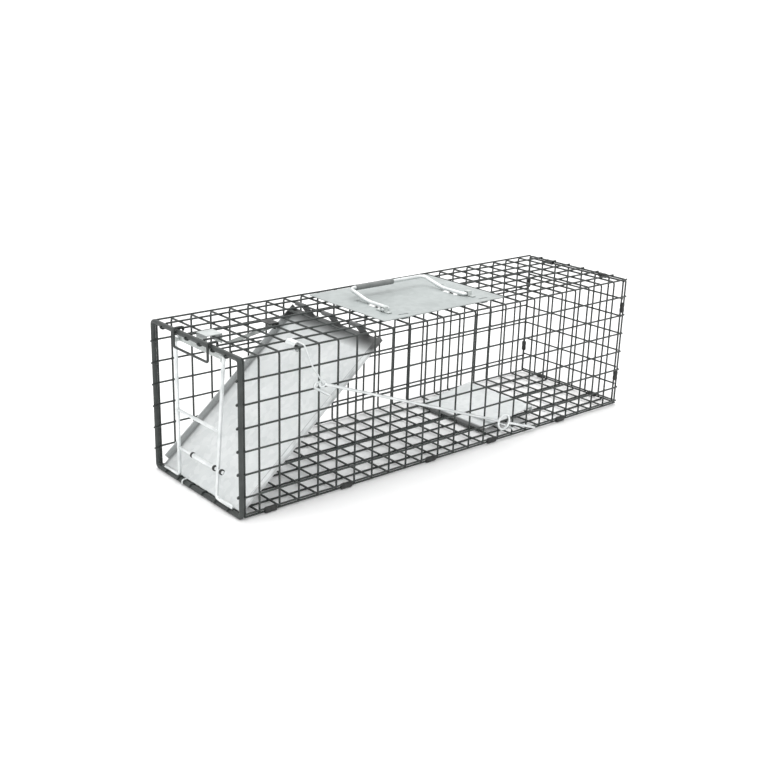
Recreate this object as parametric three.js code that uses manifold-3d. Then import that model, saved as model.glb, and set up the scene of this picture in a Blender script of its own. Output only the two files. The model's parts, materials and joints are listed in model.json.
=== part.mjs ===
// Single-door live catch trap: a long cage of welded wire mesh with a slanted sheet door that
// swings on a ceiling wire, a hanging lock bar in front of it, a trip pan on the floor, a trigger
// rod outside the near wall, and a handle plate with a folding bail on the roof.
//
// Millimetres. +X runs to the closed back end, -Y is the side with the trigger rod, +Z is up.
// The origin is the middle of the cage's floor, on the surface that the trap stands on.

import * as THREE from "three";
import { mergeVertices } from "three/addons/utils/BufferGeometryUtils.js";
import Module from "manifold-3d";

const wasm = await Module();
wasm.setup();

// ---------------------------------------------------------------- driving dimensions

const gap = 0.3; // clearance kept between neighbouring pieces
const weld = 0.3; // bite of one mesh wire into the wire that crosses it
const overlap = 0.6; // depth by which joined features of one piece run into each other
const simplifyWithin = 1e-4; // spare points closer than this to a straight edge are dropped

// Cage
const cell = 25.4;
const cellsLong = 24;
const cellsWide = 7;
const cellsHigh = 7;
const meshWire = 2.3;
const seamWireLift = 1.4; // the near bottom corner wire sits this far up the fold

// Front frame
const frameBar = 5.6;
const frameCornerRadius = 7;
const frameBarChamfer = 1.5;

// Clips that hold the back panel and close the seam
const clipWall = 0.7;
const clipLip = 1.2;
const backClipLength = 13;
const backClipCells = 2; // cells of the back panel, from the middle of each edge
const seamClipLength = 15;
const seamClipBesideHoop = 5;
const seamClipHoops = [1, 5, 10, 14, 19];

// Sheet parts
const doorSheet = 1.0;
const panSheet = 1.0;
const bracketSheet = 1.2;
const plateSheet = 1.0;
const knuckleClearance = 0.45; // between a curled knuckle and the mesh wire inside it

// Door
const doorHingeHoop = 7;
const doorTipPastHoop = 0.5; // the closed door's foot rests just behind the first floor hoop's middle
const doorWidth = 161.4;
const doorPlateDrop = 20; // from the hinge line down to the sheet's back face
const doorFlangeHeight = 8; // the long edges stand up by this much
const doorFlangeEndInset = 8;
const doorHemWidth = 4; // the flange's edge is folded back on its outer side
const doorHemSheet = 0.8;
const doorKnuckleWidth = 17;
const doorKnuckleCells = [-2, 0, 2]; // counted from the middle row of cells
const doorKnuckleSweep = 250; // degrees of curl

// Lock bar and the bracket that it hangs from
const lockWire = 4.2;
const lockCrossWire = 3.8;
const lockPivotHalf = 48;
const lockPivotX = 8.4; // behind the frame's front face
const lockPivotDrop = 10.5; // below the cage's top
const lockFootHalf = 38;
const lockFootReach = 69.6;
const lockPinLength = 6.4;
const pinClearance = 0.6;
const pinHoleSides = 10;
const lockUpperCross = 83.8;
const lockLowerCross = 40.6;
const lockLowerCrossPast = 9;
const lockSleeveDiameter = 5.8;
const lockSleeveSpan = [-32, 9];
const lockCollarDiameter = 6.4;
const lockCollarLength = 3;
const lockCollarPlaces = [-47, -33.8, 10.8];
const hangerStripHeight = 11;
const hangerTabWidth = 20;
const hangerTopPastHoop = 6; // from the first hoop's middle to the top plate's back edge
const hangerLipDrop = 10;
const hangerEarRise = 4.3;

// Keeper loop in the mouth
const keeperWire = 2.8;
const keeperHalf = 34;
const keeperDrop = 19; // below the cage's top
const keeperTip = 5;

// Leaf spring under the roof
const leafHoop = 4;
const leafWidth = 9;
const leafThickness = 0.8;
const leafLength = 56;
const leafSlope = 9.3; // degrees
const leafClipWidth = 18;
const leafClipTongue = 7.5; // how far the clip's top runs on in front of its lip
const leafTipLength = 2; // the free end turns up by this much

// Trigger rod and the spring that carries it
// Places written in cells count from the cage's front face and up from the ground.
const rodWire = 3.2;
const rodPivotCells = [4.01, 5.19];
const rodRingCells = [15.16, 1];
const rodTailCells = 17.47;
const rodTailZ = 4.6;
const rodEyeRadius = 3.4;
const rodRingRadius = 9.5;
const rodHook = [
  [-2.9, 1],
  [-7.4, 3.6],
  [-11.2, -1.8],
  [11.4, -15.7],
]; // corners in the rod's own plane, from the pivot
const rodHookReach = 8.1; // how far the hook's tip turns in through the wall
const springWire = 2.0;
const springHoop = 3;
const springCoilInner = 4.0;
const springCoilWire = 1.8;
const springCoilLength = 18;
const springKneeCells = [3.41, 6.1];
const springLegGrip = 4; // the leg's start runs this far into the coil

// Trip pan
const panHingeHoop = 15;
const panSlope = 8; // degrees, front to back
const panWidth = 118;
const panLength = 92;
const panLip = 6;
const panKnuckleWidth = 20;
const panKnuckleSweep = 300; // degrees of curl
const panKnuckleCells = [-1, 1];
const armWire = 3.0;
const armCells = 15.74; // from the cage's front face
const armHeight = 14;
const armEndBeyondCage = 5.4;
const armOnPan = 42;
const armRiseStart = 3;
const armRiseRun = 12;

// Handle plate and bail
const plateFrontHoop = 8;
const plateBackHoop = 15.5;
const plateHalfCells = 2.76;
const plateCorner = 3;
const plateSlotLength = 14;
const plateSlotWidth = 3;
const plateSlotHoops = [9, 14];
const plateSlotPastHoop = 4;
const plateSlotRows = [-2.5, 0.5]; // rows of roof wire, counted from the middle
const plateTabInset = 2; // from the slot's ends to its tab
const bailWire = 4.6;
const bailHalf = 59;
const bailAhead = 3.6; // the bail's middle is this far in front of the plate's
const bailPivotY = -40;
const bailReach = 72.5;
const bailRise = 8.2;
const bailFlat = 38; // the legs lie on the plate for this far before they rise to the grip
const bailSlotWidth = 7.5; // openings in the plate under the flat part of the legs
const bailSlotFrom = 10; // from the pivot
const bailSlotTo = 36;
const bailToe = 11; // the pivot ends turn outwards by this much
const bailCornerRadius = 9;
const gripDiameter = 7.2;
const gripFrom = -50; // from the bail's middle
const gripTo = 8;
const strapWidth = 6;
const strapFoot = 7;
const strapSheet = 1.0;
const strapPastToe = 2; // from the middle of a toe to the middle of its strap

// Small ring on the frame's bottom bar
const hogRingWire = 1.8;
const hogRingY = 26.7;
const hogRingFoot = 1; // height of its ends above the ground

// ---------------------------------------------------------------- derived sizes

const length = cell * cellsLong;
const width = cell * cellsWide;
const height = cell * cellsHigh;
const front = -length / 2;
const back = length / 2;
const nearFace = -width / 2;
const farFace = width / 2;
const wireSides = 5;
const tubeSides = 12;
const wireRadius = meshWire / (1 + Math.cos(Math.PI / wireSides)); // flat to opposite edge is meshWire
const wireFlat = wireRadius * Math.cos(Math.PI / wireSides);
const wireHalfWidth = wireRadius * Math.sin((2 * Math.PI) / wireSides);
const meshDepth = 2 * meshWire - weld; // both layers of wire together
const hoopCentreDepth = meshDepth - wireFlat; // from a panel's outer face to its hoops' centres
const meshStart = front + frameBar + gap;
const topSurface = height + gap; // where sheet pieces lie on the roof

const hoopX = (index) => {
  if (index === 0) return meshStart + wireHalfWidth;
  if (index === cellsLong) return back - wireHalfWidth;
  return front + index * cell;
};
const inHoopRow = (cellFromMiddle) => cellFromMiddle * cell;
const fromFront = (cells) => front + cells * cell;
const rad = (degrees) => (degrees * Math.PI) / 180;

// ---------------------------------------------------------------- materials

const coated = { color: 0x2c302f, roughness: 0.55, metalness: 0.1 };
const zincSheet = { color: 0xc4c9c9, roughness: 0.42, metalness: 0.75 };
const greySheet = { color: 0xaeb4b3, roughness: 0.5, metalness: 0.6 };
const brightWire = { color: 0xd6d9d9, roughness: 0.3, metalness: 0.85 };
const sleeve = { color: 0x4a4e4d, roughness: 0.6, metalness: 0.0 };

// ---------------------------------------------------------------- helpers

// A closed geometry as a solid that can be joined and cut.
function solid(geometry) {
  const bare = geometry.clone();
  bare.deleteAttribute("normal");
  bare.deleteAttribute("uv");
  const merged = mergeVertices(bare, 1e-4);
  const mesh = new wasm.Mesh({
    numProp: 3,
    vertProperties: merged.attributes.position.array,
    triVerts: new Uint32Array(merged.index.array),
  });
  return new wasm.Manifold(mesh);
}

function geometryOf(manifold) {
  const mesh = manifold.simplify(simplifyWithin).getMesh();
  const geometry = new THREE.BufferGeometry();
  geometry.setAttribute("position", new THREE.BufferAttribute(mesh.vertProperties, 3));
  geometry.setIndex(new THREE.BufferAttribute(mesh.triVerts, 1));
  const flat = geometry.toNonIndexed();
  flat.computeVertexNormals();
  return flat;
}

function joined(geometries) {
  const solids = geometries.map(solid);
  return geometryOf(solids.slice(1).reduce((whole, next) => whole.add(next), solids[0]));
}

function cut(geometry, tools) {
  return geometryOf(tools.reduce((left, tool) => left.subtract(solid(tool)), solid(geometry)));
}

// A box given by its low and high corners.
function block(low, high) {
  const size = high.map((value, axis) => value - low[axis]);
  const middle = high.map((value, axis) => (value + low[axis]) / 2);
  return new THREE.BoxGeometry(...size).translate(...middle);
}

// A closed outline of [x, y] points, extruded along +Z.
function prism(points, depth) {
  const shape = new THREE.Shape(points.map(([x, y]) => new THREE.Vector2(x, y)));
  return new THREE.ExtrudeGeometry(shape, { depth, bevelEnabled: false });
}

// An outline of [x, z] points, extruded from y = from to y = to.
function sidePrism(points, from, to) {
  return prism(points, to - from)
    .rotateX(Math.PI / 2)
    .translate(0, to, 0);
}

function circlePoints(radius, sides, phase) {
  return Array.from({ length: sides }, (_, i) => {
    const angle = phase + (2 * Math.PI * i) / sides;
    return [radius * Math.cos(angle), radius * Math.sin(angle)];
  });
}

// A path through given points, with each inner corner rounded by a short arc of straight steps.
class BentPath extends THREE.Curve {
  constructor(corners, bendRadius, bendSteps) {
    super();
    this.points = corners.flatMap((corner, i) => {
      if (i === 0 || i === corners.length - 1) return [corner.clone()];
      const toPrevious = corners[i - 1].clone().sub(corner);
      const toNext = corners[i + 1].clone().sub(corner);
      const reach = Math.min(bendRadius, toPrevious.length() / 2.2, toNext.length() / 2.2);
      const start = corner.clone().addScaledVector(toPrevious.normalize(), reach);
      const end = corner.clone().addScaledVector(toNext.normalize(), reach);
      return new THREE.QuadraticBezierCurve3(start, corner, end).getPoints(bendSteps);
    });
    this.steps = this.points.length - 1;
  }

  getPoint(t) {
    const place = t * this.steps;
    const index = Math.min(Math.floor(place), this.steps - 1);
    return this.points[index].clone().lerp(this.points[index + 1], place - index);
  }

  getPointAt(u) {
    return this.getPoint(u);
  }

  getTangentAt(u) {
    const index = Math.round(u * this.steps);
    const before = this.points[Math.max(index - 1, 0)];
    const after = this.points[Math.min(index + 1, this.steps)];
    const here = this.points[index];
    const arriving = here.clone().sub(before).normalize();
    const leaving = after.clone().sub(here).normalize();
    return arriving.add(leaving).normalize();
  }
}

// Round wire bent through the given [x, y, z] corners.
function bentWire(corners, diameter, { bend = 4, steps = 3, sides = 6 } = {}) {
  const path = new BentPath(corners.map((c) => new THREE.Vector3(...c)), bend, steps);
  const section = new THREE.Shape(
    circlePoints(diameter / 2, sides, Math.PI / sides).map(([x, y]) => new THREE.Vector2(x, y)),
  );
  return new THREE.ExtrudeGeometry(section, {
    steps: path.steps,
    extrudePath: path,
    bevelEnabled: false,
  });
}

// A ring of wire in the X-Z plane.
function wireRing(x, y, z, ringRadius, wireDiameter, around) {
  return new THREE.TorusGeometry(ringRadius, wireDiameter / 2, 6, around)
    .rotateX(Math.PI / 2)
    .translate(x, y, z);
}

// A short tube about the Y direction, from y = from to y = to.
function tube(innerRadius, outerRadius, from, to) {
  const profile = [
    [innerRadius, from],
    [outerRadius, from],
    [outerRadius, to],
    [innerRadius, to],
    [innerRadius, from],
  ].map(([r, y]) => new THREE.Vector2(r, y));
  return new THREE.LatheGeometry(profile, tubeSides);
}

// Outline of a curl about the origin in [u, n]: it starts at the sheet's tangent point and goes
// round by `sweep` degrees.
function curlOutline(innerRadius, sheet, start, sweep, steps) {
  const arc = (radius) =>
    Array.from({ length: steps + 1 }, (_, i) => {
      const angle = rad(start) - rad(sweep) * (i / steps);
      return [radius * Math.cos(angle), radius * Math.sin(angle)];
    });
  return [...arc(innerRadius), ...arc(innerRadius + sheet).reverse()];
}

const nodes = new THREE.Group();

function add(name, geometry, look, parent = nodes) {
  const mesh = new THREE.Mesh(geometry, new THREE.MeshStandardMaterial(look));
  mesh.name = name;
  parent.add(mesh);
  return mesh;
}

// ---------------------------------------------------------------- mesh panels

// One straight mesh wire with a five-sided section. Along u or v; its flat faces out (+w) on the
// outer layer and in on the inner layer, so crossing wires meet edge to edge.
function longWire(v, w, from, to) {
  return prism(circlePoints(wireRadius, wireSides, -Math.PI / 2), to - from)
    .rotateZ(Math.PI / 2)
    .rotateY(Math.PI / 2)
    .translate(from, v, w - wireFlat);
}

function hoopWire(u, from, to) {
  return prism(circlePoints(wireRadius, wireSides, Math.PI / 2), to - from)
    .rotateX(Math.PI / 2)
    .translate(u, to, -hoopCentreDepth);
}

// A flat welded panel in local u, v, w: long wires outside, hoop wires inside, outer face at w = 0.
function meshPanel({ longs, hoops, from, to, hoopFrom, hoopTo }) {
  return joined([
    ...longs.map(({ v, w = 0 }) => longWire(v, w, from, to)),
    ...hoops.map((u) => hoopWire(u, hoopFrom, hoopTo)),
  ]);
}

const hoops = Array.from({ length: cellsLong + 1 }, (_, i) => hoopX(i));
const innerRows = (cells) =>
  Array.from({ length: cells - 1 }, (_, i) => ({ v: (i + 1 - cells / 2) * cell }));
const cornerWire = width / 2 - wireHalfWidth;

add(
  "roof_mesh",
  meshPanel({
    longs: [{ v: -cornerWire }, ...innerRows(cellsWide), { v: cornerWire }],
    hoops,
    from: meshStart,
    to: back,
    hoopFrom: nearFace,
    hoopTo: farFace,
  }),
  coated,
).position.z = height;

// The floor is the same panel turned over; its near corner wire is lifted into the fold.
const floor = add(
  "floor_mesh",
  meshPanel({
    longs: [{ v: -cornerWire }, ...innerRows(cellsWide), { v: cornerWire, w: -seamWireLift }],
    hoops,
    from: meshStart,
    to: back,
    hoopFrom: nearFace,
    hoopTo: farFace,
  }),
  coated,
);
floor.rotation.x = Math.PI;

const sideHoopHalf = height / 2 - meshDepth - gap;
const seamWire = height / 2 - meshDepth - 2 * gap - wireHalfWidth;

const farSide = add(
  "far_side_mesh",
  meshPanel({
    longs: innerRows(cellsHigh),
    hoops,
    from: meshStart,
    to: back,
    hoopFrom: -sideHoopHalf,
    hoopTo: sideHoopHalf,
  }),
  coated,
);
farSide.position.set(0, farFace, height / 2);
farSide.rotation.x = -Math.PI / 2;

const nearSide = add(
  "near_side_mesh",
  meshPanel({
    longs: [{ v: -seamWire }, ...innerRows(cellsHigh)],
    hoops,
    from: meshStart,
    to: back,
    hoopFrom: -sideHoopHalf,
    hoopTo: sideHoopHalf,
  }),
  coated,
);
nearSide.position.set(0, nearFace, height / 2);
nearSide.rotation.x = Math.PI / 2;

// The back panel slips inside the end of the cage.
const backHalf = width / 2 - meshDepth - gap - wireHalfWidth;
const backCell = (2 * backHalf) / cellsWide;
const backRows = Array.from(
  { length: cellsWide + 1 },
  (_, i) => -backHalf + backCell * i,
);
const backPanel = add(
  "back_mesh",
  meshPanel({
    longs: backRows.map((v) => ({ v })),
    hoops: backRows,
    from: -backHalf - wireHalfWidth,
    to: backHalf + wireHalfWidth,
    hoopFrom: -backHalf - wireHalfWidth,
    hoopTo: backHalf + wireHalfWidth,
  }),
  coated,
);
backPanel.matrixAutoUpdate = false;
backPanel.matrix
  .makeBasis(new THREE.Vector3(0, 1, 0), new THREE.Vector3(0, 0, 1), new THREE.Vector3(1, 0, 0))
  .setPosition(back, 0, height / 2);

// ---------------------------------------------------------------- clips

// A crimped channel around a cavity, in [across, depth], with two lips that turn in over its mouth.
function clipOutline(acrossLow, acrossHigh, depthLow, depthHigh) {
  const low = acrossLow - gap;
  const high = acrossHigh + gap;
  const top = depthHigh + gap;
  const mouth = depthLow - gap;
  return [
    [low - clipWall, mouth - clipWall],
    [low + clipLip, mouth - clipWall],
    [low + clipLip, mouth],
    [low, mouth],
    [low, top],
    [high, top],
    [high, mouth],
    [high - clipLip, mouth],
    [high - clipLip, mouth - clipWall],
    [high + clipWall, mouth - clipWall],
    [high + clipWall, top + clipWall],
    [low - clipWall, top + clipWall],
  ];
}

// Each edge of the back panel is clipped to the last hoop in two places.
const backClip = prism(
  clipOutline(backHalf - wireHalfWidth, width / 2 - meshWire + weld, back - meshDepth, back),
  backClipLength,
).translate(0, 0, -backClipLength / 2);
const edges = { far: 0, top: Math.PI / 2, near: Math.PI, bottom: -Math.PI / 2 };
for (const [edge, turn] of Object.entries(edges)) {
  for (const [index, along] of [-backClipCells * backCell, backClipCells * backCell].entries()) {
    const clip = add(`back_clip_${edge}_${index + 1}`, backClip, coated);
    // [across, depth, along] becomes [outwards from the cage's axis, +X, along the edge].
    const outwards = new THREE.Vector3(0, Math.cos(turn), Math.sin(turn));
    const depth = new THREE.Vector3(1, 0, 0);
    const run = outwards.clone().cross(depth);
    clip.matrixAutoUpdate = false;
    clip.matrix.makeBasis(outwards, depth, run).setPosition(0, 0, height / 2);
    clip.matrix.multiply(new THREE.Matrix4().makeTranslation(0, 0, along));
  }
}

// The near bottom seam: the floor's corner wire and the near wall's bottom wire, held together.
const seamTop = height / 2 - seamWire + wireHalfWidth;
const seamClip = prism(
  clipOutline(seamWireLift, seamTop, nearFace * -1 - meshWire, nearFace * -1),
  seamClipLength,
);
for (const [index, hoop] of seamClipHoops.entries()) {
  const clip = add(`seam_clip_${index + 1}`, seamClip, coated);
  clip.matrixAutoUpdate = false;
  clip.matrix
    .makeBasis(new THREE.Vector3(0, 0, 1), new THREE.Vector3(0, -1, 0), new THREE.Vector3(1, 0, 0))
    .setPosition(hoopX(hoop) + seamClipBesideHoop, 0, 0);
}

// ---------------------------------------------------------------- front frame

function roundedRectangle(halfWidth, halfHeight, radius) {
  const steps = 3;
  const corners = [
    [halfWidth - radius, halfHeight - radius, 0],
    [radius - halfWidth, halfHeight - radius, 1],
    [radius - halfWidth, radius - halfHeight, 2],
    [halfWidth - radius, radius - halfHeight, 3],
  ];
  return corners.flatMap(([x, y, quarter]) =>
    Array.from({ length: steps + 1 }, (_, i) => {
      const angle = (quarter + i / steps) * (Math.PI / 2);
      return new THREE.Vector2(x + radius * Math.cos(angle), y + radius * Math.sin(angle));
    }),
  );
}

const frameShape = new THREE.Shape(
  roundedRectangle(
    width / 2 - frameBarChamfer,
    height / 2 - frameBarChamfer,
    frameCornerRadius - frameBarChamfer,
  ),
);
frameShape.holes.push(
  new THREE.Path(
    roundedRectangle(
      width / 2 - frameBar + frameBarChamfer,
      height / 2 - frameBar + frameBarChamfer,
      frameCornerRadius - frameBarChamfer,
    ).reverse(),
  ),
);
const frameGeometry = new THREE.ExtrudeGeometry(frameShape, {
  depth: frameBar - 2 * frameBarChamfer,
  bevelThickness: frameBarChamfer,
  bevelSize: frameBarChamfer,
  bevelSegments: 1,
})
  .rotateX(Math.PI / 2)
  .rotateZ(Math.PI / 2);
frameGeometry.computeBoundingBox();
frameGeometry.translate(front - frameGeometry.boundingBox.min.x, 0, height / 2);
add("front_frame", frameGeometry, coated);

// Hog ring over the frame's bottom bar, open underneath so that the trap still stands on the bar.
const hogFront = front - gap - hogRingWire / 2;
const hogBack = front + frameBar;
const hogTop = frameBar + gap + hogRingWire / 2;
add(
  "hog_ring",
  bentWire(
    [
      [hogFront, hogRingY, hogRingFoot],
      [hogFront, hogRingY, hogTop],
      [hogBack, hogRingY, hogTop],
    ],
    hogRingWire,
    { bend: 3, steps: 3 },
  ),
  brightWire,
);

// ---------------------------------------------------------------- door

const knuckleInner = wireRadius + knuckleClearance;
const doorHingeZ = height - hoopCentreDepth;
const doorTipZ = meshDepth + gap;
const doorRun = hoopX(doorHingeHoop) - hoopX(0) - doorTipPastHoop;
const doorReach = Math.hypot(doorRun, doorHingeZ - doorTipZ); // from the hinge line to the foot
const doorLength = Math.sqrt(doorReach ** 2 - doorPlateDrop ** 2);
const doorSlope = Math.atan2(doorHingeZ - doorTipZ, doorRun) - Math.asin(doorPlateDrop / doorReach);
const doorHalf = doorWidth / 2;

// Door frame of reference: u runs down the sheet from the hinge line, n stands out from its face.
// The sheet lies well below the hinge wire, and three tabs rise from its top edge and curl round it.
const door = new THREE.Group();
door.position.set(hoopX(doorHingeHoop), 0, doorHingeZ);
door.rotation.y = Math.PI - doorSlope;
nodes.add(door);

const doorN = (n) => -n; // the group is turned over, so the outer face looks down its own +Z
const doorSheetFace = (points) => points.map(([u, n]) => [u, doorN(n)]);
const doorTop = -knuckleInner - doorSheet;
const doorFace = doorSheet - doorPlateDrop;
const doorPlate = block(
  [doorTop, -doorHalf, doorN(doorFace)],
  [doorLength, doorHalf, doorN(-doorPlateDrop)],
);
const doorEdgeStrip = (low, high) =>
  doorSheetFace([
    [doorTop, low - doorPlateDrop],
    [doorLength - doorFlangeEndInset, low - doorPlateDrop],
    [doorLength - doorFlangeEndInset, high - doorPlateDrop],
    [doorTop, high - doorPlateDrop],
  ]);
const doorFlange = doorEdgeStrip(doorSheet / 2, doorFlangeHeight);
const doorHem = doorEdgeStrip(doorFlangeHeight - doorHemWidth, doorFlangeHeight);
const doorCurl = doorSheetFace(curlOutline(knuckleInner, doorSheet, -180, doorKnuckleSweep, 8));
const doorTab = (row) => {
  const from = inHoopRow(row) - doorKnuckleWidth / 2;
  const to = inHoopRow(row) + doorKnuckleWidth / 2;
  return [
    block([doorTop, from, doorN(overlap)], [-knuckleInner, to, doorN(-doorPlateDrop)]),
    sidePrism(doorCurl, from, to),
  ];
};
const doorPieces = [
  doorPlate,
  sidePrism(doorFlange, -doorHalf, -doorHalf + doorSheet),
  sidePrism(doorFlange, doorHalf - doorSheet, doorHalf),
  sidePrism(doorHem, -doorHalf - doorHemSheet, -doorHalf + doorSheet / 2),
  sidePrism(doorHem, doorHalf - doorSheet / 2, doorHalf + doorHemSheet),
  ...doorKnuckleCells.flatMap(doorTab),
];
add("door", joined(doorPieces), zincSheet, door);

// ---------------------------------------------------------------- lock bar

const lockX = front + lockPivotX;
const lockZ = height - lockPivotDrop;
const lockFootX = front + frameBar / 2;
const lockFootZ = frameBar + gap + lockWire / 2;
const lockAt = (z) => {
  const share = (lockZ - z) / (lockZ - lockFootZ);
  return {
    x: lockX + (lockFootX - lockX) * share,
    half: lockPivotHalf + (lockFootHalf - lockPivotHalf) * share,
  };
};
const lockSide = (side) =>
  bentWire(
    [
      [lockX, side * (lockPivotHalf - lockPinLength), lockZ],
      [lockX, side * lockPivotHalf, lockZ],
      [lockFootX, side * lockFootHalf, lockFootZ],
      [lockFootX, side * lockFootReach, lockFootZ],
    ],
    lockWire,
    { bend: 5 },
  );
const lockCross = (z, past) => {
  const { x, half } = lockAt(z);
  return bentWire(
    [
      [x, -half - lockWire / 4 - past, z],
      [x, half + lockWire / 4, z],
    ],
    lockCrossWire,
  );
};
add(
  "lock_bar",
  joined([
    lockSide(-1),
    lockSide(1),
    lockCross(lockUpperCross, 0),
    lockCross(lockLowerCross, lockLowerCrossPast),
  ]),
  brightWire,
);

// A loose sleeve turns on the lower crossbar between two of its three collars.
const { x: crossX } = lockAt(lockLowerCross);
const crossBore = lockCrossWire / 2 + gap;
add(
  "lock_sleeve",
  tube(crossBore, lockSleeveDiameter / 2, ...lockSleeveSpan).translate(crossX, 0, lockLowerCross),
  zincSheet,
);
for (const [index, y] of lockCollarPlaces.entries()) {
  const collar = tube(
    crossBore,
    lockCollarDiameter / 2,
    y - lockCollarLength / 2,
    y + lockCollarLength / 2,
  );
  add(`lock_collar_${index + 1}`, collar.translate(crossX, 0, lockLowerCross), coated);
}

// The bracket behind the frame's top bar carries the lock bar's two pivot pins in its ears, and
// its tab goes up between the roof wires and back over the first roof hoop.
const stripFace = lockX + lockWire / 2 + 3 * gap;
const stripTop = lockZ + hangerEarRise;
const stripBottom = stripTop - hangerStripHeight;
const earInner = lockPivotHalf - lockWire / 2 - gap - bracketSheet;
const earFront = front + frameBar + 2 * gap;
const topPlateBack = hoopX(1) + hangerTopPastHoop;
const hangerPieces = [
  block([stripFace, -earInner - bracketSheet, stripBottom], [
    stripFace + bracketSheet,
    earInner + bracketSheet,
    stripTop,
  ]),
  ...[-1, 1].map((side) =>
    block(
      [earFront, Math.min(side * earInner, side * (earInner + bracketSheet)), stripBottom],
      [
        stripFace + bracketSheet,
        Math.max(side * earInner, side * (earInner + bracketSheet)),
        stripTop,
      ],
    ),
  ),
  block([stripFace, -hangerTabWidth / 2, stripBottom + overlap], [
    stripFace + bracketSheet,
    hangerTabWidth / 2,
    topSurface + bracketSheet,
  ]),
  block([stripFace, -hangerTabWidth / 2, topSurface], [
    topPlateBack,
    hangerTabWidth / 2,
    topSurface + bracketSheet,
  ]),
  block([topPlateBack - bracketSheet, -hangerTabWidth / 2, topSurface - hangerLipDrop], [
    topPlateBack,
    hangerTabWidth / 2,
    topSurface + bracketSheet,
  ]),
];
const pinHoleRadius = lockWire / 2 + pinClearance;
const pinHole = new THREE.CylinderGeometry(
  pinHoleRadius,
  pinHoleRadius,
  4 * lockPivotHalf,
  pinHoleSides,
).translate(lockX, 0, lockZ);
add("lock_bar_hanger", cut(joined(hangerPieces), [pinHole]), zincSheet);

// Coated keeper loop: hooked over the frame's top bar, hanging in the mouth as the door's stop.
const keeperX = front - gap - keeperWire / 2;
const keeperTop = height + gap + keeperWire / 2;
const keeperHookX = hoopX(0) + wireHalfWidth + gap + keeperWire / 2;
const keeperZ = height - keeperDrop;
add(
  "keeper_loop",
  bentWire(
    [
      [keeperHookX, -keeperHalf, keeperTop - keeperTip],
      [keeperHookX, -keeperHalf, keeperTop],
      [keeperX, -keeperHalf, keeperTop],
      [keeperX, -keeperHalf, keeperZ],
      [keeperX, keeperHalf, keeperZ],
      [keeperX, keeperHalf, keeperTop],
      [keeperHookX, keeperHalf, keeperTop],
      [keeperHookX, keeperHalf, keeperTop - keeperTip],
    ],
    keeperWire,
    { bend: 2.6, steps: 2 },
  ),
  coated,
);

// ---------------------------------------------------------------- leaf spring

const leafClipX = hoopX(leafHoop);
const leafClipHalf = wireHalfWidth + gap + bracketSheet;
const leafLipBottom = height - meshDepth - gap - bracketSheet;
add(
  "leaf_clip",
  joined([
    block([leafClipX - leafClipHalf - leafClipTongue, -leafClipWidth / 2, topSurface], [
      leafClipX + leafClipHalf,
      leafClipWidth / 2,
      topSurface + bracketSheet,
    ]),
    ...[-1, 1].map((side) => {
      const outer = leafClipX + side * leafClipHalf;
      const inner = outer - side * bracketSheet;
      return block(
        [Math.min(outer, inner), -leafClipWidth / 2, leafLipBottom],
        [Math.max(outer, inner), leafClipWidth / 2, topSurface + bracketSheet],
      );
    }),
  ]),
  zincSheet,
);
const leafRootX = leafClipX - leafClipHalf - gap;
const leafRootZ = leafLipBottom;
const leafDrop = leafLength * Math.sin(rad(leafSlope));
const leafRun = leafLength * Math.cos(rad(leafSlope));
add(
  "leaf_spring",
  sidePrism(
    [
      [leafRootX, topSurface - gap],
      [leafRootX - leafThickness, topSurface - gap],
      [leafRootX - leafThickness, leafRootZ + leafThickness],
      [leafRootX - leafRun, leafRootZ - leafDrop + leafThickness],
      [leafRootX - leafRun - leafTipLength, leafRootZ - leafDrop + leafThickness + leafTipLength],
      [leafRootX - leafRun - leafTipLength - leafThickness / 2, leafRootZ - leafDrop + leafTipLength],
      [leafRootX - leafRun, leafRootZ - leafDrop],
      [leafRootX, leafRootZ],
    ],
    -leafWidth / 2,
    leafWidth / 2,
  ),
  brightWire,
);

// ---------------------------------------------------------------- trigger rod and its spring

const rodY = nearFace - gap - rodWire / 2;
const [rodPivotX, rodPivotZ] = [fromFront(rodPivotCells[0]), rodPivotCells[1] * cell];
const [rodRingX, rodRingZ] = [fromFront(rodRingCells[0]), rodRingCells[1] * cell];
const rodTailX = fromFront(rodTailCells);
const rodLine = new THREE.Vector2(rodRingX - rodPivotX, rodRingZ - rodPivotZ).normalize();
const rodStart = [rodPivotX + rodLine.x * rodEyeRadius, rodY, rodPivotZ + rodLine.y * rodEyeRadius];
const rodEnd = [rodRingX - rodLine.x * rodRingRadius, rodY, rodRingZ - rodLine.y * rodRingRadius];
const tailLine = new THREE.Vector2(rodTailX - rodRingX, rodTailZ - rodRingZ).normalize();
const tailStart = [
  rodRingX + tailLine.x * rodRingRadius,
  rodY,
  rodRingZ + tailLine.y * rodRingRadius,
];
const hookCorners = rodHook.map(([x, z]) => [rodPivotX + x, rodY, rodPivotZ + z]);
const [hookTipX, , hookTipZ] = hookCorners.at(-1);
add(
  "trigger_rod",
  joined([
    wireRing(rodPivotX, rodY, rodPivotZ, rodEyeRadius, rodWire, 10),
    bentWire([rodStart, rodEnd], rodWire),
    wireRing(rodRingX, rodY, rodRingZ, rodRingRadius, rodWire, 16),
    bentWire([tailStart, [rodTailX, rodY, rodTailZ]], rodWire),
    bentWire([...hookCorners, [hookTipX, rodY + rodHookReach, hookTipZ]], rodWire, {
      bend: 3,
      steps: 2,
    }),
  ]),
  brightWire,
);

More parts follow.
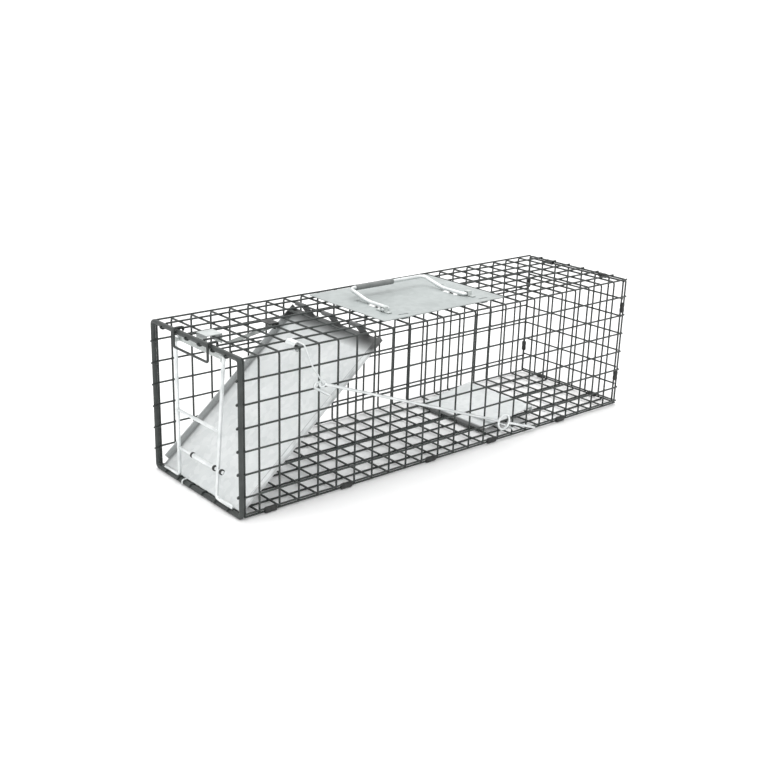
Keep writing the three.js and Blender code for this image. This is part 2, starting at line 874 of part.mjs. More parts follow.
// Torsion spring: its coil rides on a roof hoop beside the near edge, and its leg goes over the
// edge and down outside the wall, where its turned-in tip is the rod's pivot pin.
const coilOuter = springCoilInner + springCoilWire;
const coilFrom = nearFace + meshDepth + gap;
const coil = tube(springCoilInner, coilOuter, coilFrom, coilFrom + springCoilLength).translate(
  hoopX(springHoop),
  0,
  height - hoopCentreDepth,
);
const springLegY = rodY - rodWire / 2 - gap - springWire / 2;
const springLegTop = height + 2 * gap + springWire / 2;
const [springKneeX, springKneeZ] = [fromFront(springKneeCells[0]), springKneeCells[1] * cell];
add(
  "rod_spring",
  joined([
    coil,
    bentWire(
      [
        [hoopX(springHoop), coilFrom + springLegGrip, springLegTop],
        [hoopX(springHoop), springLegY, springLegTop],
        [springKneeX, springLegY, springKneeZ],
        [rodPivotX, springLegY, rodPivotZ],
        [rodPivotX, rodY + rodWire / 2, rodPivotZ],
      ],
      springWire,
      { bend: 2.5, steps: 2 },
    ),
  ]),
  brightWire,
);

// ---------------------------------------------------------------- trip pan

// Pan frame of reference: u runs back up the sheet from the hinge wire, n stands up from it.
const panHalf = panWidth / 2;
const panHingeZ = hoopCentreDepth;
const pan = new THREE.Group();
pan.position.set(hoopX(panHingeHoop), 0, panHingeZ);
pan.rotation.y = -rad(panSlope);
nodes.add(pan);
const panInner = wireRadius + knuckleClearance;
const panCurl = curlOutline(panInner, panSheet, -90, panKnuckleSweep, 8).map(([u, n]) => [u, -n]);
add(
  "trip_pan",
  joined([
    block([-overlap, -panHalf, panInner], [panLength, panHalf, panInner + panSheet]),
    block([panLength - panSheet, -panHalf, panInner - panLip], [
      panLength,
      panHalf,
      panInner + panSheet,
    ]),
    ...panKnuckleCells.map((row) =>
      sidePrism(
        panCurl,
        inHoopRow(row) - panKnuckleWidth / 2,
        inHoopRow(row) + panKnuckleWidth / 2,
      ),
    ),
  ]),
  greySheet,
  pan,
);

// Wire arm laid on the pan; it rises at the pan's edge and reaches out through the near wall.
const armX = fromFront(armCells);
const armU = armX - hoopX(panHingeHoop);
const panTopAtArm =
  panHingeZ + armU * Math.tan(rad(panSlope)) + (panInner + panSheet) / Math.cos(rad(panSlope));
const armLow = panTopAtArm + 2 * gap + armWire / 2;
add(
  "trip_arm",
  bentWire(
    [
      [armX, -panHalf + armOnPan, armLow],
      [armX, -panHalf - armRiseStart, armLow],
      [armX, -panHalf - armRiseStart - armRiseRun, armHeight],
      [armX, nearFace - armEndBeyondCage, armHeight],
    ],
    armWire,
    { bend: 4, steps: 2 },
  ),
  brightWire,
);

// ---------------------------------------------------------------- handle plate, bail and grip

const plateTop = topSurface + plateSheet;
const plateFront = hoopX(plateFrontHoop);
const plateBack = hoopX(plateBackHoop);
const plateShape = new THREE.Shape(
  roundedRectangle((plateBack - plateFront) / 2, plateHalfCells * cell, plateCorner),
);
const plateMiddle = (plateFront + plateBack) / 2;
const bailMiddle = plateMiddle - bailAhead;
const slotAt = (x, y) =>
  block(
    [x, y + wireHalfWidth + gap, topSurface - overlap],
    [x + plateSlotLength, y + wireHalfWidth + gap + plateSlotWidth, plateTop + overlap],
  );
// A tab is bent down through each slot and under the roof wire beside it.
const tabAt = (x, y) => {
  const inner = y + wireHalfWidth + gap;
  const under = height - meshWire - gap;
  return [
    block([x + plateTabInset, inner, under - plateSheet], [
      x + plateSlotLength - plateTabInset,
      inner + plateSheet,
      topSurface + plateSheet / 2,
    ]),
    block([x + plateTabInset, y - wireHalfWidth, under - plateSheet], [
      x + plateSlotLength - plateTabInset,
      inner + plateSheet,
      under,
    ]),
  ];
};
const slotPlaces = plateSlotHoops.flatMap((hoop) =>
  plateSlotRows.map((row) => [hoopX(hoop) + plateSlotPastHoop, inHoopRow(row)]),
);
const legSlots = [-bailHalf, bailHalf].map((side) =>
  block([bailMiddle + side - bailSlotWidth / 2, bailPivotY + bailSlotFrom, topSurface - overlap], [
    bailMiddle + side + bailSlotWidth / 2,
    bailPivotY + bailSlotTo,
    plateTop + overlap,
  ]),
);
const plateBlank = new THREE.ExtrudeGeometry(plateShape, {
  depth: plateSheet,
  bevelEnabled: false,
}).translate(plateMiddle, 0, topSurface);
const plateTabs = slotPlaces.flatMap(([x, y]) => tabAt(x, y));
const plateBridge = slotPlaces.map(([x, y]) =>
  block([x + plateTabInset, y + wireHalfWidth + gap, topSurface], [
    x + plateSlotLength - plateTabInset,
    y + wireHalfWidth + gap + plateSheet,
    plateTop,
  ]),
);
const plateCut = cut(plateBlank, [...slotPlaces.map(([x, y]) => slotAt(x, y)), ...legSlots]);
add("handle_plate", joined([plateCut, ...plateBridge, ...plateTabs]), greySheet);

// Bail: lies folded towards the far side, pivoting in two straps on the plate.
const bailZ = plateTop + gap + bailWire / 2;
const bailGripY = bailPivotY + bailReach;
add(
  "handle_bail",
  bentWire(
    [
      [-bailHalf - bailToe, bailPivotY, bailZ],
      [-bailHalf, bailPivotY, bailZ],
      [-bailHalf, bailPivotY + bailFlat, bailZ],
      [-bailHalf, bailGripY, bailZ + bailRise],
      [bailHalf, bailGripY, bailZ + bailRise],
      [bailHalf, bailPivotY + bailFlat, bailZ],
      [bailHalf, bailPivotY, bailZ],
      [bailHalf + bailToe, bailPivotY, bailZ],
    ],
    bailWire,
    { bend: bailCornerRadius, steps: 3, sides: 8 },
  ).translate(bailMiddle, 0, 0),
  brightWire,
);
const gripSection = new THREE.Shape(
  circlePoints(gripDiameter / 2, 12, 0).map(([x, y]) => new THREE.Vector2(x, y)),
);
gripSection.holes.push(
  new THREE.Path(
    circlePoints(bailWire / 2 + gap, 12, 0)
      .reverse()
      .map(([x, y]) => new THREE.Vector2(x, y)),
  ),
);
add(
  "handle_grip",
  new THREE.ExtrudeGeometry(gripSection, { depth: gripTo - gripFrom, bevelEnabled: false })
    .rotateY(Math.PI / 2)
    .translate(bailMiddle + gripFrom, bailGripY, bailZ + bailRise),
  sleeve,
);

// Saddle straps over the bail's toes.
const strapInner = bailWire / 2 + gap;
const strapOuter = strapInner + strapSheet;
const strapProfile = [
  [-strapOuter - strapFoot, 0],
  [-strapInner, 0],
  [-strapInner, bailWire + gap],
  [strapInner, bailWire + gap],
  [strapInner, 0],
  [strapOuter + strapFoot, 0],
  [strapOuter + strapFoot, strapSheet],
  [strapOuter, strapSheet],
  [strapOuter, bailWire + gap + strapSheet],
  [-strapOuter, bailWire + gap + strapSheet],
  [-strapOuter, strapSheet],
  [-strapOuter - strapFoot, strapSheet],
];
for (const [name, side] of [
  ["bail_strap_front", -1],
  ["bail_strap_back", 1],
]) {
  const strap = prism(strapProfile, strapWidth)
    .rotateX(Math.PI / 2)
    .rotateZ(Math.PI / 2)
    .translate(0, bailPivotY, plateTop + gap);
  const strapX = bailMiddle + side * (bailHalf + bailToe / 2 + strapPastToe);
  strap.translate(strapX - strapWidth / 2, 0, 0);
  add(name, strap, zincSheet);
}

export default nodes;
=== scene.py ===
# %% [markdown]
# # A live catch trap, dressed for its portrait
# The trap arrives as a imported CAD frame: every part is in its real place and at its real size,
# but its wires are five-sided prisms and its sheets have knife edges. This lesson gives each
# part its real surface. Round wire is swept along the same routes, sheet metal gets rolled
# edges, and each finish is built from nodes. Everything is in metres, with +X towards the
# closed back end and +Z up.

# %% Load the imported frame
import json
import math
import random

import bmesh
import bpy
from mathutils import Matrix, Vector

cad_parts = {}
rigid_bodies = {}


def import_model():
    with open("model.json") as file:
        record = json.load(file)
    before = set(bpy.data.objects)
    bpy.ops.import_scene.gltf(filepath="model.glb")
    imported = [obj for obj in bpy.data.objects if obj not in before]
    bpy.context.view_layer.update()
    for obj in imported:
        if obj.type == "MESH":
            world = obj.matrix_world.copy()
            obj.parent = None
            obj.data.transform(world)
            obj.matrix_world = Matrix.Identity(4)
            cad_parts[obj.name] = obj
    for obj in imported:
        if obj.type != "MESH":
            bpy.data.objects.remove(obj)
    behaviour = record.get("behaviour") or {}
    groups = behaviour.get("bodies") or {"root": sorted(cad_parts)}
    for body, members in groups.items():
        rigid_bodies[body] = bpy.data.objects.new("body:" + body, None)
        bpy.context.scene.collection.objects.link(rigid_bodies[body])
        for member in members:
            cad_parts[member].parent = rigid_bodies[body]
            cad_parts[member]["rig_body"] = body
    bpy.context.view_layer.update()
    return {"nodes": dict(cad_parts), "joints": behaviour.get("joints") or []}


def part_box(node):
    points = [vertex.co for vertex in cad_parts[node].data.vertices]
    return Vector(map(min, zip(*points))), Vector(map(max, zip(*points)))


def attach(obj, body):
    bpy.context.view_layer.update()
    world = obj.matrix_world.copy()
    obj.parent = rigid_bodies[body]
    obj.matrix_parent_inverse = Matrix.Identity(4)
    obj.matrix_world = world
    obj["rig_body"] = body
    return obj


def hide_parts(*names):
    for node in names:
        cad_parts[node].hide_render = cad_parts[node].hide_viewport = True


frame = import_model()
mm = 0.001
joint_at = {j["name"]: Vector(j["pos_m"]) for j in frame["joints"]}

# %% [markdown]
# The camera comes first, because it decides which details matter. It stands low in front of the
# near corner and looks along the cage, so the front frame is large and the back end recedes.
# It is set by an aim direction and a small roll instead of a tracking constraint, because a
# constraint always keeps the horizon level.

# %% Camera
camera_place = Vector((-882.1, -977.8, 514.9)) * mm
camera_azimuth = math.radians(-40.777)
camera_elevation = math.radians(18.885)
camera_roll = math.radians(1.743)
camera_focal = 36 * 1122.2 / 768

back = Vector((
    math.sin(camera_azimuth) * math.cos(camera_elevation),
    -math.cos(camera_azimuth) * math.cos(camera_elevation),
    math.sin(camera_elevation),
))
right = Vector((0, 0, 1)).cross(back).normalized()
up = back.cross(right)
rolled_right = right * math.cos(camera_roll) + up * math.sin(camera_roll)
rolled_up = up * math.cos(camera_roll) - right * math.sin(camera_roll)

camera = bpy.data.objects.new("camera", bpy.data.cameras.new("camera"))
bpy.context.scene.collection.objects.link(camera)
camera.matrix_world = Matrix((
    (rolled_right.x, rolled_up.x, back.x, camera_place.x),
    (rolled_right.y, rolled_up.y, back.y, camera_place.y),
    (rolled_right.z, rolled_up.z, back.z, camera_place.z),
    (0, 0, 0, 1),
))
camera.data.lens = camera_focal
camera.data.sensor_width = 36
bpy.context.scene.camera = camera
print("camera lens", round(camera_focal, 1), "mm")

# %% [markdown]
# ## Finishes
# Five kinds of finish cover the trap. The mesh is dipped in a dark coating that pools into small
# lumps, the sheets are galvanised and show zinc crystals, the rods are drawn wire with fine lines
# along them, the clips are oxidised steel, and the grip is soft vinyl. Each one is a Principled
# shader fed by noise textures in object coordinates, because those need no unwrapping and keep
# the grain at its real size. The numbers that don't vary sit on the shader's own sockets.

# %% A helper that starts a material
def start_material(name, metallic, roughness, specular=0.5):
    material = bpy.data.materials.new(name)
    material.use_nodes = True
    nodes = material.node_tree.nodes
    links = material.node_tree.links
    shader = nodes["Principled BSDF"]
    shader.inputs["Metallic"].default_value = metallic
    shader.inputs["Roughness"].default_value = roughness
    shader.inputs["Specular IOR Level"].default_value = specular
    place = nodes.new("ShaderNodeTexCoord").outputs["Object"]
    return material, nodes, links, shader, place


def noise(nodes, links, place, scale, detail=4.0, stretch=None):
    texture = nodes.new("ShaderNodeTexNoise")
    texture.inputs["Scale"].default_value = scale
    texture.inputs["Detail"].default_value = detail
    if stretch:
        mapping = nodes.new("ShaderNodeMapping")
        mapping.inputs["Scale"].default_value = stretch
        links.new(place, mapping.inputs["Vector"])
        place = mapping.outputs["Vector"]
    links.new(place, texture.inputs["Vector"])
    return texture.outputs["Fac"]


def ramp(nodes, links, value, stops):
    node = nodes.new("ShaderNodeValToRGB")
    elements = node.color_ramp.elements
    while len(elements) < len(stops):
        elements.new(0.5)
    for element, (position, colour) in zip(elements, stops):
        element.position = position
        element.color = (*colour, 1.0) if len(colour) == 3 else colour
    links.new(value, node.inputs["Fac"])
    return node.outputs["Color"]


def grey(value):
    return (value, value, value)


def bump(nodes, links, shader, height, distance, strength=1.0):
    node = nodes.new("ShaderNodeBump")
    node.inputs["Distance"].default_value = distance
    node.inputs["Strength"].default_value = strength
    links.new(height, node.inputs["Height"])
    links.new(node.outputs["Normal"], shader.inputs["Normal"])


# %% Dark coating on the mesh and the frame
def coated_finish():
    material, nodes, links, shader, place = start_material("coated_wire", 0.0, 0.5)
    patches = noise(nodes, links, place, 60.0)
    links.new(
        ramp(nodes, links, patches, [
            (0.25, (0.018, 0.022, 0.021)),
            (0.55, (0.030, 0.036, 0.034)),
            (0.85, (0.060, 0.068, 0.065)),
        ]),
        shader.inputs["Base Color"],
    )
    gloss = noise(nodes, links, place, 240.0)
    links.new(
        ramp(nodes, links, gloss, [(0.3, grey(0.36)), (0.8, grey(0.62))]),
        shader.inputs["Roughness"],
    )
    bump(nodes, links, shader, noise(nodes, links, place, 420.0, 2.0), 0.25 * mm, 0.5)
    return material


coated = coated_finish()

# %% [markdown]
# Sheet metal needs two more layers than zinc crystals, and both are painted shade. The sheet is
# darkened round a hinge, where the bend and its knuckles lie in shadow, and darkened in the
# crease and on the flange along a flanged edge, where the upstanding flange shades the sheet.
# Both are driven by position, as distances in millimetres from the hinge line and from the
# middle.

# %% Galvanised sheet
def sheet_finish(name, dark, light, metallic, roughness, shade=None, edge=None):
    """Galvanised sheet; shade = (hinge point, from mm, to mm, darkness) paints shade round a
    hinge.

    Painted shade also darkens the crease and the flange at each long edge, a distance of edge mm
    from the middle.
    """
    material, nodes, links, shader, place = start_material(name, metallic, roughness)
    crystals = nodes.new("ShaderNodeTexVoronoi")
    crystals.inputs["Scale"].default_value = 170.0
    crystals.inputs["Randomness"].default_value = 1.0
    links.new(place, crystals.inputs["Vector"])
    spangle = nodes.new("ShaderNodeSeparateColor")
    links.new(crystals.outputs["Color"], spangle.inputs["Color"])
    clouds = noise(nodes, links, place, 14.0, 5.0)
    blend = nodes.new("ShaderNodeMath")
    blend.operation = "MULTIPLY_ADD"
    links.new(spangle.outputs["Red"], blend.inputs[0])
    blend.inputs[1].default_value = 0.28
    links.new(clouds, blend.inputs[2])
    colour = ramp(nodes, links, blend.outputs["Value"], [(0.3, dark), (0.95, light)])
    # Painted shade: the colour darkens towards the hinge line, down to darkness times the sheet
    # colour.
    if shade:
        point, near, far, darkness = shade
        spread = nodes.new("ShaderNodeVectorMath")
        spread.operation = "MULTIPLY_ADD"
        links.new(place, spread.inputs[0])
        spread.inputs[1].default_value = (1 / mm, 0, 1 / mm)
        spread.inputs[2].default_value = (-point.x / mm, 0, -point.z / mm)
        away = nodes.new("ShaderNodeVectorMath")
        away.operation = "LENGTH"
        links.new(spread.outputs["Vector"], away.inputs[0])
        fade = nodes.new("ShaderNodeMapRange")
        fade.inputs["From Min"].default_value = near
        fade.inputs["From Max"].default_value = far
        fade.inputs["To Min"].default_value = darkness
        fade.inputs["To Max"].default_value = 1.0
        links.new(away.outputs["Value"], fade.inputs["Value"])
        tint = nodes.new("ShaderNodeVectorMath")
        tint.operation = "SCALE"
        links.new(colour, tint.inputs[0])
        links.new(fade.outputs["Result"], tint.inputs["Scale"])
        colour = tint.outputs["Vector"]
    # Painted shade: the crease beside each long edge is darkest, the flange face is darker, and
    # the hem comes back to full colour.
    if edge:
        parts = nodes.new("ShaderNodeSeparateXYZ")
        links.new(place, parts.inputs["Vector"])
        side = nodes.new("ShaderNodeMath")
        side.operation = "ABSOLUTE"
        links.new(parts.outputs["Y"], side.inputs[0])
        ratio = nodes.new("ShaderNodeMapRange")
        ratio.inputs["From Min"].default_value = (edge - 5) * mm
        ratio.inputs["From Max"].default_value = (edge + 1.8) * mm
        links.new(side.outputs["Value"], ratio.inputs["Value"])
        bend = ramp(nodes, links, ratio.outputs["Result"], [
            (0.0, grey(1.0)), (0.58, grey(0.36)), (0.76, grey(0.58)), (0.98, grey(1.0)),
        ])
        edge_crease_shade = nodes.new("ShaderNodeMixRGB")
        edge_crease_shade.blend_type = "MULTIPLY"
        edge_crease_shade.inputs["Fac"].default_value = 1.0
        links.new(colour, edge_crease_shade.inputs["Color1"])
        links.new(bend, edge_crease_shade.inputs["Color2"])
        colour = edge_crease_shade.outputs["Color"]
    links.new(colour, shader.inputs["Base Color"])
    links.new(
        ramp(nodes, links, blend.outputs["Value"], [
            (0.2, grey(roughness - 0.08)),
            (1.0, grey(roughness + 0.12)),
        ]),
        shader.inputs["Roughness"],
    )
    bump(nodes, links, shader, noise(nodes, links, place, 26.0, 2.0), 0.6 * mm, 0.22)
    return material


hinge = joint_at["door_hinge"]
pan_hinge = joint_at["trip_pan_hinge"]
pale = ((0.60, 0.63, 0.63), (0.78, 0.80, 0.80))
door_edge = (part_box("door")[1].y - 1.8 * mm) / mm
# The door gets painted shade round its hinge and along its flanged edges.
door_sheet = sheet_finish(
    "door_zinc", *pale, 0.35, 0.42, shade=(hinge, 19.5, 27, 0.16), edge=door_edge,
)
# The pan gets painted shade round its hinge knuckles.
pan_sheet = sheet_finish("pan_zinc", *pale, 0.30, 0.45, shade=(pan_hinge, 4.5, 8, 0.13))
zinc_sheet = sheet_finish("zinc_sheet", (0.40, 0.43, 0.42), (0.58, 0.61, 0.60), 0.5, 0.38)
leaf_sheet = sheet_finish("leaf_steel", (0.14, 0.155, 0.15), (0.26, 0.28, 0.27), 0.5, 0.42)
plate_sheet = sheet_finish("grey_sheet", (0.33, 0.36, 0.355), (0.45, 0.48, 0.475), 0.45, 0.46)

# %% Bright drawn wire
def wire_finish():
    material, nodes, links, shader, place = start_material("bright_wire", 0.85, 0.3)
    lines = noise(nodes, links, place, 900.0, 2.0, stretch=(0.06, 1.0, 1.0))
    tarnish = noise(nodes, links, place, 45.0, 4.0)
    links.new(
        ramp(nodes, links, tarnish, [(0.3, (0.60, 0.63, 0.63)), (0.7, (0.86, 0.88, 0.88))]),
        shader.inputs["Base Color"],
    )
    links.new(
        ramp(nodes, links, tarnish, [(0.3, grey(0.42)), (0.75, grey(0.24))]),
        shader.inputs["Roughness"],
    )
    bump(nodes, links, shader, lines, 0.05 * mm, 0.35)
    return material


bright = wire_finish()

# %% Oxidised clips and vinyl grip
def clip_finish():
    material, nodes, links, shader, place = start_material("clip_steel", 0.3, 0.5)
    patches = noise(nodes, links, place, 180.0, 5.0)
    links.new(
        ramp(nodes, links, patches, [(0.3, (0.012, 0.013, 0.013)), (0.8, (0.05, 0.052, 0.05))]),
        shader.inputs["Base Color"],
    )
    links.new(
        ramp(nodes, links, patches, [(0.2, grey(0.6)), (0.9, grey(0.35))]),
        shader.inputs["Roughness"],
    )
    bump(nodes, links, shader, noise(nodes, links, place, 700.0, 2.0), 0.1 * mm, 0.4)
    return material


def vinyl_finish():
    material, nodes, links, shader, place = start_material("grip_vinyl", 0.0, 0.5, 0.4)
    cloud = noise(nodes, links, place, 70.0)
    links.new(
        ramp(nodes, links, cloud, [(0.3, (0.150, 0.160, 0.158)), (0.8, (0.230, 0.240, 0.237))]),
        shader.inputs["Base Color"],
    )
    links.new(
        ramp(nodes, links, cloud, [(0.3, grey(0.42)), (0.8, grey(0.58))]),
        shader.inputs["Roughness"],
    )
    bump(nodes, links, shader, noise(nodes, links, place, 1400.0, 2.0), 0.06 * mm, 0.5)
    return material


clip_steel = clip_finish()
vinyl = vinyl_finish()
print("finishes:", [m.name for m in bpy.data.materials])

# %% [markdown]
# ## Round wire
# Nearly everything on this trap is wire: mesh, rods, springs and handle. A curve object with a
# bevel would do, but hundreds of them are slow and their corners pinch. So one small function
# sweeps a ring of points along a route with parallel frames, and another rounds a route's
# corners the way a bending machine does. Many wires then go into one mesh.

# %% Routes with rounded corners
def rounded(corners, radius, steps=6):
    corners = [Vector(c) for c in corners]
    route = [corners[0]]
    for before, corner, after in zip(corners, corners[1:], corners[2:]):
        arriving = before - corner
        leaving = after - corner
        reach = min(radius, arriving.length / 2.1, leaving.length / 2.1)
        start = corner + arriving.normalized() * reach
        end = corner + leaving.normalized() * reach
        for step in range(steps + 1):
            t = step / steps
            route.append(start * (1 - t) ** 2 + corner * 2 * t * (1 - t) + end * t * t)
    route.append(corners[-1])
    return route


# %% [markdown]
# The sweep carries one direction along the route, so the ring never twists. A closed route joins
# its last ring to its first, and an open one gets two smaller rings at each end, which read as a
# sheared and tumbled wire end.

# %% A swept ring of points
class Wires:
    """Collects swept wires and small lumps, then makes them one mesh object."""

    def __init__(self):
        self.points = []
        self.faces = []

    def sweep(self, route, diameter, sides=10, closed=False, ends=True):
        route = [Vector(p) for p in route]
        if ends and not closed:
            inward = diameter / 2 * 0.45
            route[0] += (route[1] - route[0]).normalized() * inward
            route[-1] += (route[-2] - route[-1]).normalized() * inward
        count = len(route)
        tangents = []
        for i, here in enumerate(route):
            before = route[i - 1] if (i > 0 or closed) else here
            after = route[(i + 1) % count] if (i < count - 1 or closed) else here
            tangents.append((after - before).normalized())
        side = tangents[0].orthogonal().normalized()
        rings = []
        for i, (here, tangent) in enumerate(zip(route, tangents)):
            side = (side - tangent * side.dot(tangent)).normalized()
            other = tangent.cross(side)
            rings.append((here, side, other, tangent, 1.0))
        if ends and not closed:
            radius = diameter / 2
            first, last = rings[0], rings[-1]
            nose = [
                (first[0] - first[3] * radius * 0.45, *first[1:4], 0.62),
                (first[0] - first[3] * radius * 0.15, *first[1:4], 0.92),
            ]
            tail = [
                (last[0] + last[3] * radius * 0.15, *last[1:4], 0.92),
                (last[0] + last[3] * radius * 0.45, *last[1:4], 0.62),
            ]
            rings = nose + rings + tail
        base = len(self.points)
        for here, across, other, _, scale in rings:
            for k in range(sides):
                angle = 2 * math.pi * k / sides
                offset = across * math.cos(angle) + other * math.sin(angle)
                self.points.append(here + offset * (diameter / 2 * scale))
        spans = len(rings) if closed else len(rings) - 1
        for i in range(spans):
            low = base + i * sides
            high = base + ((i + 1) % len(rings)) * sides
            for k in range(sides):
                n = (k + 1) % sides
                self.faces.append((low + k, low + n, high + n, high + k))
        if not closed:
            self.faces.append(tuple(base + k for k in reversed(range(sides))))
            top = base + (len(rings) - 1) * sides
            self.faces.append(tuple(top + k for k in range(sides)))

    def lump(self, centre, radii, around=8, rows=4):
        base = len(self.points)
        self.points.append(Vector((centre[0], centre[1], centre[2] - radii[2])))
        for row in range(1, rows):
            polar = math.pi * row / rows
            for k in range(around):
                turn = 2 * math.pi * k / around
                self.points.append(Vector((
                    centre[0] + radii[0] * math.sin(polar) * math.cos(turn),
                    centre[1] + radii[1] * math.sin(polar) * math.sin(turn),
                    centre[2] - radii[2] * math.cos(polar),
                )))
        self.points.append(Vector((centre[0], centre[1], centre[2] + radii[2])))
        top = len(self.points) - 1
        for k in range(around):
            n = (k + 1) % around
            self.faces.append((base, base + 1 + n, base + 1 + k))
            for row in range(rows - 2):
                low = base + 1 + row * around
                self.faces.append((low + k, low + n, low + around + n, low + around + k))
            last = base + 1 + (rows - 2) * around
            self.faces.append((last + k, last + n, top))

    def piece(self, name, material, slot, body, replaces=()):
        mesh = bpy.data.meshes.new(name)
        mesh.from_pydata([tuple(p) for p in self.points], [], self.faces)
        mesh.update()
        mesh.shade_smooth()
        mesh.materials.append(material)
        piece = bpy.data.objects.new(name, mesh)
        bpy.context.scene.collection.objects.link(piece)
        crease = piece.modifiers.new("crease", "EDGE_SPLIT")
        crease.split_angle = math.radians(50)
        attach(piece, body)
        if replaces:
            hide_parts(*replaces)
        print(f"{name}: {len(self.faces)} faces")
        return piece


# %% [markdown]
# ## The mesh body
# The real body is one strip of welded mesh folded round three corners and closed with clips
# along the near bottom edge. The crosswise wires lie inside as square hoops with tight bends,
# and the lengthwise wires lie on them, welded at every crossing, where the coating pools into a
# small lump. Drawing it as an image on flat walls would fail in any close view, so every wire is
# swept. A fraction of a millimetre of waviness keeps it from looking drawn with a ruler.

# %% Where the wires run
cell = 25.4 * mm
mesh_wire = 2.3 * mm
bite = 0.3 * mm
roof_low, roof_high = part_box("roof_mesh")
frame_low, frame_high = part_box("front_frame")
half_width = roof_high.y
height = roof_high.z
inset = 1.5 * mesh_wire - bite
hoop_half = half_width - inset
hoop_places = (
    [roof_low.x + mesh_wire / 2]
    + [frame_low.x + k * cell for k in range(1, 24)]
    + [roof_high.x - mesh_wire / 2]
)
row_offsets = [(k - 2.5) * cell for k in range(6)]
wobble = random.Random(7)
print("hoops:", len(hoop_places), "half width", round(hoop_half / mm, 2), "mm")

# %% Hoops and lengthwise wires
def wavy(start, end, pieces, sway, across):
    """A nearly straight route; across names the two axes that may sway."""
    start, end = Vector(start), Vector(end)
    route = []
    for i in range(pieces + 1):
        point = start.lerp(end, i / pieces)
        if 0 < i < pieces:
            for axis in across:
                point[axis] += wobble.uniform(-sway, sway)
        route.append(point)
    return route


wrap = Wires()
bend = 4 * mm
for x in hoop_places:
    lean = wobble.uniform(-0.2, 0.2) * mm
    low, high = inset, height - inset
    corners = [
        (x + lean, -hoop_half + bend, low),
        (x + lean, hoop_half, low),
        (x - lean, hoop_half, high),
        (x - lean, -hoop_half, high),
        (x + lean, -hoop_half, low),
        (x + lean, -hoop_half + bend * 0.9, low),
    ]
    wrap.sweep(rounded(corners, bend, 4)[:-1], mesh_wire, sides=8, closed=True)

outer = mesh_wire / 2
corner_out = inset + bend * 0.2 - (mesh_wire - bite) * 0.7
long_wires = []
for y in row_offsets:
    long_wires.append((y, height - outer, "z"))
    long_wires.append((y, outer, "z"))
for z in row_offsets:
    long_wires.append((half_width - outer, height / 2 + z, "y"))
    long_wires.append((-half_width + outer, height / 2 + z, "y"))
for side_y in (1, -1):
    for z in (corner_out, height - corner_out):
        long_wires.append((side_y * (half_width - corner_out), z, "corner"))
seam_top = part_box("seam_clip_1")[1].z
long_wires.append((-half_width + outer, seam_top - 1.0 * mm - outer, "seam"))
for y, z, kind in long_wires:
    route = wavy((roof_low.x, y, z), (roof_high.x, y, z), 24, 0.12 * mm, (1, 2))
    for p in route:
        p.z = max(p.z, outer)
        p.z = min(p.z, height - outer)
        p.y = max(min(p.y, half_width - outer), -half_width + outer)
    wrap.sweep(route, mesh_wire, sides=8)

# %% A lump of coating at every weld
lump = 1.45 * mm
for x in hoop_places:
    for y, z, kind in long_wires:
        if kind == "z":
            toward = -1 if z > height / 2 else 1
            centre = (x, y, z + toward * (mesh_wire - bite) / 2)
            radii = (lump, lump, lump * 0.95)
        elif kind == "y":
            toward = -1 if y > 0 else 1
            centre = (x, y + toward * (mesh_wire - bite) / 2, z)
            radii = (lump, lump * 0.95, lump)
        else:
            continue
        wrap.lump(centre, radii)
wrap.piece(
    "mesh_body", coated, "coated_mesh", "cage",
    ["roof_mesh", "floor_mesh", "far_side_mesh", "near_side_mesh"],
)

# %% [markdown]
# ## Back panel
# The closed end is a separate square of the same mesh that slips inside the last hoop. Its own
# edge wires run beside the hoop, which is why the back edges look doubled.

# %% Back panel wires
panel_low, panel_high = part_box("back_mesh")
panel = Wires()
edge = panel_high.y - mesh_wire / 2 - 0.05 * mm
rows = [-edge + 2 * edge * k / 7 for k in range(8)]
middle_z = (panel_low.z + panel_high.z) / 2
outer_x = panel_high.x - mesh_wire / 2
inner_x = outer_x - mesh_wire + bite
panel_sway = 0.1 * mm
weld_x = outer_x - (mesh_wire - bite) / 2
weld_radii = (lump * 0.95, lump, lump)
for row in rows:
    across = wavy(
        (outer_x, -edge, middle_z + row), (outer_x, edge, middle_z + row), 7, panel_sway, (2,),
    )
    upright = wavy(
        (inner_x, row, middle_z - edge), (inner_x, row, middle_z + edge), 7, panel_sway, (1,),
    )
    panel.sweep(across, mesh_wire, sides=8, ends=False)
    panel.sweep(upright, mesh_wire, sides=8, ends=False)
    for other in rows:
        panel.lump((weld_x, row, middle_z + other), weld_radii)
panel.piece("back_panel", coated, "coated_mesh", "cage", ["back_mesh"])

# %% [markdown]
# ## Front frame
# A heavier coated bar squares up the mouth. The mesh wires end by hooking round it, which gives
# the row of small nubs along each side. The bar is one closed sweep round a rounded square, and
# each hook is a short sweep that starts at its mesh wire and ends on the bar's front face.

# %% Bar and hooks
bar = frame_high.x - frame_low.x
bar_x = (frame_low.x + frame_high.x) / 2
bar_half = half_width - bar / 2
mouth = Wires()
corner_turn = 5 * mm
square = [
    (bar_x, 0, bar / 2),
    (bar_x, bar_half, bar / 2),
    (bar_x, bar_half, height - bar / 2),
    (bar_x, -bar_half, height - bar / 2),
    (bar_x, -bar_half, bar / 2),
    (bar_x, 0, bar / 2),
]
mouth.sweep(rounded(square, corner_turn, 6)[:-1], bar, sides=16, closed=True)
hook_reach = (bar + mesh_wire) / 2


def hook(y, z, inward):
    """A hook from the mesh wire at (y, z), over the bar's inner side, to its front."""
    inward = Vector(inward)
    centre = Vector((bar_x, y, z)) + inward * (bar / 2 - outer)
    route = [Vector((roof_low.x + 2 * mm, y, z))]
    for step in range(9):
        angle = math.radians(-20 + 200 * step / 8)
        ahead = Vector((math.cos(angle), 0, 0))
        route.append(centre + (ahead + inward * math.sin(angle)) * hook_reach)
    return route


